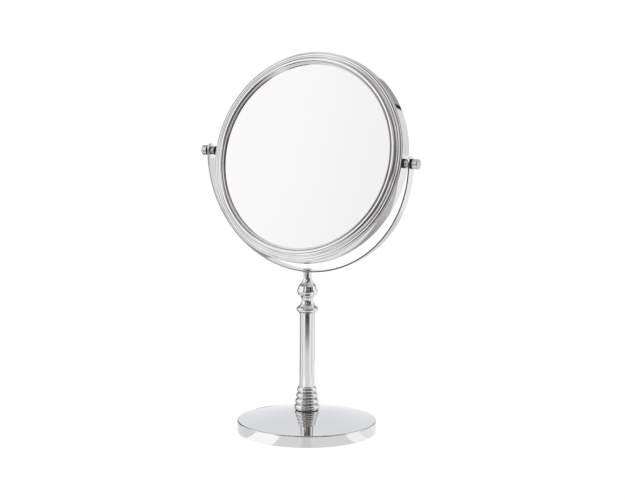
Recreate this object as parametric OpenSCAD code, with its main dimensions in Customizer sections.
// Round two-faced countertop mirror on a pedestal, in millimetres.
// +Z up, pivot axis along X, plain glass faces -Y.
// Origin: centre of the foot pad's underside, on the stem axis.

/* [Base] */
// outer diameter of the round base
base_d = 133.6; // [110:0.1:170]
// height of the base's crown where the collar stands on it
crown_z = 21; // [18:0.5:26]
// radius of the rounded rim between crown and side wall
rim_r = 1.3; // [1:0.1:3]
// sheet thickness of the base shell
shell_t = 1.6; // [1:0.1:2.5]
// thickness of the foot pad
pad_t = 1.5; // [1.2:0.1:2.2]

/* [Stem] */
// outside diameter of the plain column tube
column_d = 14.5; // [13:0.5:16]
// height of the pivot axis above the table
pivot_z = 265; // [245:0.1:300]
// diameter of the rod that ties the stem together
rod_d = 6; // [5:0.5:6]

/* [Yoke] */
// width of the yoke strip
yoke_w = 10.5; // [9:0.5:12]
// thickness of the yoke strip
yoke_t = 1.4; // [1:0.1:2]
// height of the rounded ends above the pivot axis
tab_h = 7; // [6:0.5:9]

/* [Mirror head] */
// diameter of glass seen inside the bezel
view_d = 176; // [150:1:190]
// thickness of the plain glass; the magnifying one is 0.5 thinner
glass_t = 3; // [2:0.5:3]
// radius of curvature of the magnifying glass
concave_r = 700; // [600:10:2000]
// lean of the head away from the viewer at rest, in degrees
tilt = 16; // [0:0.1:30]

/* [Knobs] */
// diameter of the side knobs
knob_d = 9.6; // [8.5:0.1:12]
// length of the side knobs
knob_l = 5.4; // [4:0.1:12]

/* [Hidden] */
$fn = 96;

gap = 0.02;             // fit between stacked pieces
cut_h = 60;             // length of long cutters
sides = [-1, 1];        // left is -X, right is +X

chrome = [0.85, 0.86, 0.88];
steel = [0.7, 0.7, 0.72];
black = [0.05, 0.05, 0.05];
mirror_grey = [0.93, 0.94, 0.95];
bush_grey = [0.3, 0.3, 0.3];
glass_pad_grey = [0.1, 0.1, 0.1];

// radii about the stem axis
base_r = base_d / 2;
column_r = column_d / 2;
rod_r = rod_d / 2;
rod_hole_r = rod_r + 0.2;
collar_r = 12;          // foot of the collar
yoke_screw_r = 2;

// radii about the head's own axis
view_r = view_d / 2;
glass_r = view_r + 2.5;
head_r = view_r + 12.5; // outside of the drum
band_t = 1.2;
band_in = head_r - band_t;
yoke_r = head_r + 8.7;  // outside of the hoop
hoop_in = yoke_r - yoke_t;

// heights up the stem
gasket_t = 0.5;
collar_z = crown_z + gasket_t;
tube_z = collar_z + 2.4; // shoulder in the collar that carries the tube
saddle_t = 1.4;
neck_top = pivot_z - yoke_r - saddle_t;
bulb_h = 25.8;
waist_z = neck_top - bulb_h;
flange_h = 13.6;
flange_z = waist_z - flange_h;
flange_seat = 1.5;      // depth the tube enters the flange

// ---- Helpers ----

// cylinder about Z
module post(radius, bottom, top) {
    translate([0, 0, bottom]) cylinder(r = radius, h = top - bottom);
}

// ring of rectangular section about Z
module ring(inner, outer, bottom, top) {
    difference() {
        post(outer, bottom, top);
        post(inner, bottom - 1, top + 1);
    }
}

// rectangle in a turned section, starting at the axis
module slab(radius, bottom, height) {
    translate([0, bottom]) square([radius, height]);
}

// rectangle in a turned section, clear of the axis
module rect(inner, outer, bottom, top) {
    translate([inner, bottom]) square([outer - inner, top - bottom]);
}

module bead(x, z, radius) {
    translate([x, z]) circle(r = radius);
}

// turned section from [radius, height] points, closed at the axis
module outline(points) {
    last = points[len(points) - 1];
    polygon(concat([[0, points[0][1]]], points, [[0, last[1]]]));
}

// disc about the hoop's axis, which lies along Y through the pivot
module hoop_disc(radius, width, facets) {
    translate([0, width / 2, pivot_z]) rotate([90, 0, 0])
        cylinder(r = radius, h = width, $fn = facets);
}

// turns local +Z outwards along the pivot axis
module on_pivot(side) {
    translate([0, 0, pivot_z]) rotate([0, side * 90, 0]) children();
}

// bar along the pivot axis between two distances from the centre
module pivot_bar(start, end, radius, side) {
    on_pivot(side) post(radius, start, end);
}

// puts the head's own frame (facing direction along local +Z) on the pivot
module in_head() {
    translate([0, 0, pivot_z]) rotate([90 - tilt, 0, 0]) children();
}

// ---- Base ----

shell_bottom = 0.6;
dome_r = 549;           // section radius of the crown
dome_slope = 7;         // slope of the crown at the collar, in degrees
dome_x = collar_r - dome_r * sin(dome_slope);
weight_r = base_r - shell_t - 0.6;
weight_h = crown_z - 13.6;
hub_r = 12;
hub_bottom = pad_t + 2;
well_r = 9;             // recess under the weight for nut and washer
well_top = 8.5;
washer_r = 7.5;
washer_bottom = 7.3;
nut_bottom = 2.7;
nut_ratio = 1.92;       // nut radius across corners to rod radius
rod_bottom = 2.3;
rod_top = neck_top - 8.6;

// section of the crowned disc: crown arc, straight wall, rounded rim
module crown_section(radius, edge, inset, bottom) {
    top = crown_z - inset;
    dome_z = top - dome_r * cos(dome_slope);
    edge_x = radius - edge;
    edge_z = dome_z + sqrt(pow(dome_r - edge, 2) - pow(edge_x - dome_x, 2));
    // where the crown arc meets the rim tangentially
    tangent_x = dome_x + dome_r * (edge_x - dome_x) / (dome_r - edge);
    intersection() {
        translate([dome_x, dome_z]) circle(r = dome_r, $fn = 1440);
        slab(tangent_x, bottom, top - bottom);
    }
    slab(radius, bottom, edge_z - bottom);
    bead(edge_x, edge_z, edge);
}

module base_pad() color([0.08, 0.08, 0.08]) post(base_r - shell_t - 0.3, 0, pad_t);

module base_shell() color(chrome) rotate_extrude() difference() {
    crown_section(base_r, rim_r, 0, shell_bottom);
    crown_section(base_r - shell_t, max(rim_r - shell_t * 0.8, 0.4), shell_t, 0);
    slab(rod_hole_r, -1, cut_h);
}

module base_weight() color([0.25, 0.25, 0.26]) difference() {
    union() {
        post(weight_r, pad_t + gap, pad_t + gap + weight_h);
        post(hub_r, hub_bottom, crown_z - shell_t - 0.1);
    }
    post(rod_r + 0.15, -1, cut_h - 1);
    post(well_r, 0, well_top);
}

module base_washer() color(steel) ring(rod_r + 0.1, washer_r, washer_bottom, well_top - gap);

module base_nut() color(steel) difference() {
    post(rod_r * nut_ratio, nut_bottom, washer_bottom - gap, $fn = 6);
    post(rod_r + gap, 0, 20);
}

// ---- Stem ----

rib_n = 4;
rib_p = 5.6;            // pitch of the collar ribs
rib_r = 3.5;            // section radius of a rib
rib_step = 0.87;        // each rib is this much narrower than the one below
collar_h = rib_n * rib_p + 0.5;
collar_lip = 1;         // height of the lip at the collar's top
tube_wall = 1.2;
bush_l = 9;
waist_r = 5.65;         // where flange and bulb meet
neck_r = 4;
bulb_shoulder = bulb_h - 6.6;

// [radius, height above the flange's underside]
flange_lower = [[8.3, 1.2], [9.4, 2.3], [10.2, 5.4], [8.7, 7.1], [7.3, 8.7]];
flange_upper = [[6.4, 10.2], [5.9, 11.6], [waist_r, flange_h - gap]];

// [radius, height above the waist]
bulb_outline = [[waist_r, 0], [5.9, 1.2], [6.9, 3.0], [8.6, 4.4], [9.0, 4.9],
                [9.75, 9.6], [9.15, 11.3], [8.5, 13.2], [8.0, bulb_shoulder]];

module tie_rod() color(steel) post(rod_r, rod_bottom, rod_top);

module collar_gasket() color(black)
    ring(rod_hole_r, collar_r - 0.9, crown_z + gap, collar_z - gap);

// stacked round ribs that widen downwards
module beehive_collar() color(chrome) rotate_extrude() difference() {
    union() {
        for (i = [0 : rib_n - 1])
            intersection() {
                bead(collar_r + 0.1 - i * rib_step - rib_r, collar_z + (i + 0.5) * rib_p, rib_r);
                slab(20, collar_z + i * rib_p, rib_p);
            }
        slab(column_r + 0.6, collar_z, collar_h);
        slab(column_r + 1.1, collar_z + collar_h - collar_lip, collar_lip);
    }
    slab(rod_hole_r, collar_z - 1, cut_h);
    slab(column_r + gap, tube_z, cut_h);
}

module column_tube() color(chrome)
    ring(column_r - tube_wall, column_r, tube_z + gap, flange_z + flange_seat);

// sleeve between rod and tube
module bush(bottom, top) color(bush_grey)
    ring(rod_r + 0.05, column_r - tube_wall - 0.05, bottom, top);
module bush_lower() bush(tube_z + gap, tube_z + bush_l);
module bush_upper() bush(flange_z - 8, flange_z + flange_seat - 0.1);

// flared ring that caps the column and narrows to the waist
module column_flange() color(chrome) rotate_extrude() translate([0, flange_z]) difference() {
    union() {
        slab(column_r + 0.75, 0, flange_seat);
        outline(flange_lower);
        bead(8.55, 4.3, 2.1);
        bead(6.1, 9.2, 1);
        slab(6.6, 8.3, 2);
        outline(flange_upper);
    }
    slab(rod_hole_r, -1, cut_h);
    slab(column_r + gap, -1, 1 + flange_seat + gap);
}

// vase-shaped piece with a raised band and a slim neck
module finial_bulb() color(chrome) rotate_extrude() translate([0, waist_z]) difference() {
    union() {
        difference() {
            outline(bulb_outline);
            bead(15.47, bulb_h - 2.76, 12);  // hollow curve up to the neck
        }
        bead(7.9, bulb_h - 17.6, 2.3);
        slab(neck_r, bulb_h - 6.8, 6.8 - gap);
    }
    slab(rod_r + gap, -1, bulb_h - 8.5 + 1);
    slab(yoke_screw_r + gap, bulb_h - 7, 20);
}

// ---- Yoke ----

arc_drop = 6;           // the round hoop stops this far below the pivot
tab_drop = arc_drop + 0.2;
tab_r = yoke_w / 2;
tab_x = yoke_r - 0.15;  // outside of the flat yoke tab
shank_r = 1.75;         // pivot screw

module yoke_saddle() color(chrome) difference() {
    ring(yoke_screw_r + 0.1, 4.8, neck_top, neck_top + saddle_t + 1);
    hoop_disc(yoke_r + gap, cut_h, 720);
}

// half hoop of flat strip with flat rounded ends
module yoke() color(chrome) difference() {
    union() {
        difference() {
            hoop_disc(yoke_r, yoke_w, 360);
            hoop_disc(hoop_in, 2 * yoke_w, 360);
            translate([-200, -50, pivot_z - arc_drop]) cube([400, 100, 300]);
        }
        for (side = sides) {
            translate([side * (tab_x - yoke_t / 2) - yoke_t / 2, -tab_r, pivot_z - tab_drop])
                cube([yoke_t, yoke_w, tab_drop + tab_h - tab_r]);
            translate([0, 0, tab_h - tab_r]) pivot_bar(tab_x - yoke_t, tab_x, tab_r, side);
        }
    }
    for (side = sides) pivot_bar(tab_x - 5, tab_x + 5, shank_r + 0.1, side);
    post(yoke_screw_r + 0.15, neck_top, neck_top + 6);
}

// the underside of the head follows the hoop's inside
module yoke_screw() color([0.8, 0.8, 0.82]) {
    post(yoke_screw_r, neck_top - 6.4, neck_top + 3.1);
    intersection() {
        post(3.9, neck_top + saddle_t, neck_top + saddle_t + yoke_t + 2.2);
        hoop_disc(hoop_in - gap, cut_h, 720);
    }
}

// ---- Mirror head ----

// positions along the facing direction, from the pivot axis
front_face = 5.2;       // face of the plain glass
front_seam = 3.2;       // between bezel and band
middle = -3.1;          // middle of the drum's depth
rear_face = 2 * middle - front_face;
rear_seam = 2 * middle - front_seam;
front_glass_back = front_face - glass_t;
shelf_front = front_glass_back - 1.2;
shelf_back = -7;

bezel_pocket_r = glass_r + 0.2;
bezel_land_r = band_in - 0.1;
bezel_back = front_seam - 0.3;
// [distance out from view_r, distance ahead of the front face, radius]
bezel_beads = [[0.85, 1.1, 0.85], [4.15, -1.0, 3.1], [7.55, -1.3, 1.5], [9.44, -2.6, 2.2]];

rear_glass_t = glass_t - 0.5;
glass_pad_in = view_r - 3.5;
glass_pad_out = glass_r - 0.5;
insert_r = 2.6;         // body of the pivot insert
nose_r = 2.4;           // its nose, through the band

// height of the magnifying glass's arc over its centre of curvature
function arc_z(radius) = sqrt(pow(concave_r, 2) - pow(radius, 2));
arc_centre = rear_face - arc_z(glass_r);
function rear_pad_face(radius) = arc_centre + rear_glass_t + gap * 2 + arc_z(radius);

module drum_band() color(chrome) difference() {
    in_head() ring(band_in, head_r, rear_seam, front_seam, $fn = 360);
    for (side = sides) pivot_bar(head_r - 10, head_r + 5, nose_r + 0.03, side);
}

// front bezel in the head's frame
module bezel() rotate_extrude() difference() {
    union() {
        translate([view_r, front_face]) {
            for (b = bezel_beads) bead(b[0], b[1], b[2]);
            translate([0, gap]) square([1.6, 1]);
            translate([0.4, gap]) square([3, 0.2]);
        }
        bead(head_r - 1, front_seam, 1);
        rect(bezel_pocket_r, bezel_land_r, bezel_back, bezel_back + 0.9);
    }
    // glass pocket, flat back and seat on the band
    rect(view_r - 5, bezel_pocket_r, -10, front_face + gap);
    rect(view_r - 5, view_r + 15, -10, bezel_back);
    rect(bezel_land_r, bezel_land_r + 5, -10, front_seam + gap);
}

module front_bezel() color(chrome) in_head() bezel();

module rear_bezel() color(chrome) in_head()
    translate([0, 0, 2 * middle]) mirror([0, 0, 1]) bezel();

module front_glass() color(mirror_grey) in_head() post(glass_r, front_glass_back, front_face);

// bent glass of even thickness, hollow towards the rear
module rear_glass() color(mirror_grey) in_head() rotate_extrude() intersection() {
    slab(glass_r, rear_face, 30);
    difference() {
        translate([0, arc_centre + rear_glass_t]) circle(r = concave_r, $fn = 1440);
        translate([0, arc_centre]) circle(r = concave_r, $fn = 1440);
    }
}

// moulded ring that keeps both glasses apart and carries the pivots
module core_ring() color([0.2, 0.2, 0.21]) difference() {
    in_head() {
        ring(glass_r + 0.4, band_in - 0.15, rear_seam + 0.35, front_seam - 0.35);
        ring(view_r - 4, glass_r + 0.5, shelf_back, shelf_front);
    }
    for (side = sides) pivot_bar(glass_r - 20, head_r + 5, insert_r + gap, side);
}

module front_pad() color(glass_pad_grey) in_head()
    ring(glass_pad_in, glass_pad_out, shelf_front + gap, front_glass_back - gap);

module rear_pad() color(glass_pad_grey) in_head() rotate_extrude()
    polygon([[glass_pad_in, rear_pad_face(glass_pad_in)],
             [glass_pad_out, rear_pad_face(glass_pad_out)],
             [glass_pad_out, shelf_back - gap], [glass_pad_in, shelf_back - gap]]);

// ---- Pivots and knobs ----

// stations along the pivot axis, from the centre outwards
boss_start = head_r + 2.6;
boss_end = hoop_in - 0.2;
knob_start = tab_x + 2.25;
knob_end = knob_start + knob_l;

boss_r = 3.5;
boss_lip_r = 4.1;
boss_lip = 0.8;         // thickness of the lip at each end
knob_edge = 0.8;        // rounding of the knob's outer edge
knob_flat_r = knob_d / 2 - knob_edge;
knob_dome_r = 14;
knob_dome_h = 0.6;

// threaded insert in the core, its nose comes through the band
module pivot_insert(side) color([0.75, 0.62, 0.3]) difference() {
    union() {
        pivot_bar(glass_r + 0.9, band_in - 0.3, insert_r, side);
        pivot_bar(band_in - 0.4, head_r + 0.4, nose_r, side);
    }
    pivot_bar(glass_r - 5, head_r + 5, shank_r + 0.03, side);
}
module pivot_insert_left() pivot_insert(-1);
module pivot_insert_right() pivot_insert(1);

// washer hollowed to sit on the drum
module inner_washer(side) color(black) difference() {
    pivot_bar(head_r - 1, boss_start - gap, 4.4, side);
    pivot_bar(head_r - 5, boss_start + 5, nose_r + 0.1, side);
    in_head() post(head_r + gap, -40, 40, $fn = 720);
}
module inner_washer_left() inner_washer(-1);
module inner_washer_right() inner_washer(1);

// spool between drum and yoke
module boss_collar(side) color([0.7, 0.71, 0.73]) difference() {
    union() {
        pivot_bar(boss_start, boss_start + boss_lip, boss_lip_r, side);
        pivot_bar(boss_start, boss_end - boss_lip, boss_r, side);
        pivot_bar(boss_end - boss_lip, boss_end, boss_lip_r, side);
    }
    pivot_bar(boss_start - 5, boss_end + 5, shank_r + 0.1, side);
}
module boss_collar_left() boss_collar(-1);
module boss_collar_right() boss_collar(1);

module outer_washer(side) color(black) difference() {
    pivot_bar(tab_x + gap, knob_start - gap, 4.6, side);
    pivot_bar(tab_x - 5, knob_start + 5, shank_r + 0.05, side);
}
module outer_washer_left() outer_washer(-1);
module outer_washer_right() outer_washer(1);

// knob with a rounded edge, a low domed end and a blind bore
module knob(side) color(chrome) on_pivot(side) rotate_extrude() difference() {
    union() {
        slab(knob_d / 2, knob_start, knob_l - knob_edge);
        slab(knob_flat_r, knob_end - 1, 1);
        bead(knob_flat_r, knob_end - knob_edge, knob_edge);
        intersection() {
            translate([0, knob_end + knob_dome_h - knob_dome_r])
                circle(r = knob_dome_r, $fn = 360);
            slab(knob_flat_r, knob_start + 1, knob_l + 2);
        }
    }
    slab(shank_r + gap, knob_start - 1, knob_l - 0.6);
}
module knob_left() knob(-1);
module knob_right() knob(1);

module pivot_screw(side) color(steel) pivot_bar(glass_r + 1.6, knob_end - 1.7, shank_r, side);
module pivot_screw_left() pivot_screw(-1);
module pivot_screw_right() pivot_screw(1);

base_pad();
base_shell();
base_weight();
base_washer();
base_nut();
tie_rod();
collar_gasket();
beehive_collar();
column_tube();
bush_lower();
bush_upper();
column_flange();
finial_bulb();
yoke_saddle();
yoke();
yoke_screw();
drum_band();
front_bezel();
rear_bezel();
front_glass();
rear_glass();
core_ring();
front_pad();
rear_pad();
pivot_insert_left();
pivot_insert_right();
inner_washer_left();
inner_washer_right();
boss_collar_left();
boss_collar_right();
outer_washer_left();
outer_washer_right();
knob_left();
knob_right();
pivot_screw_left();
pivot_screw_right();
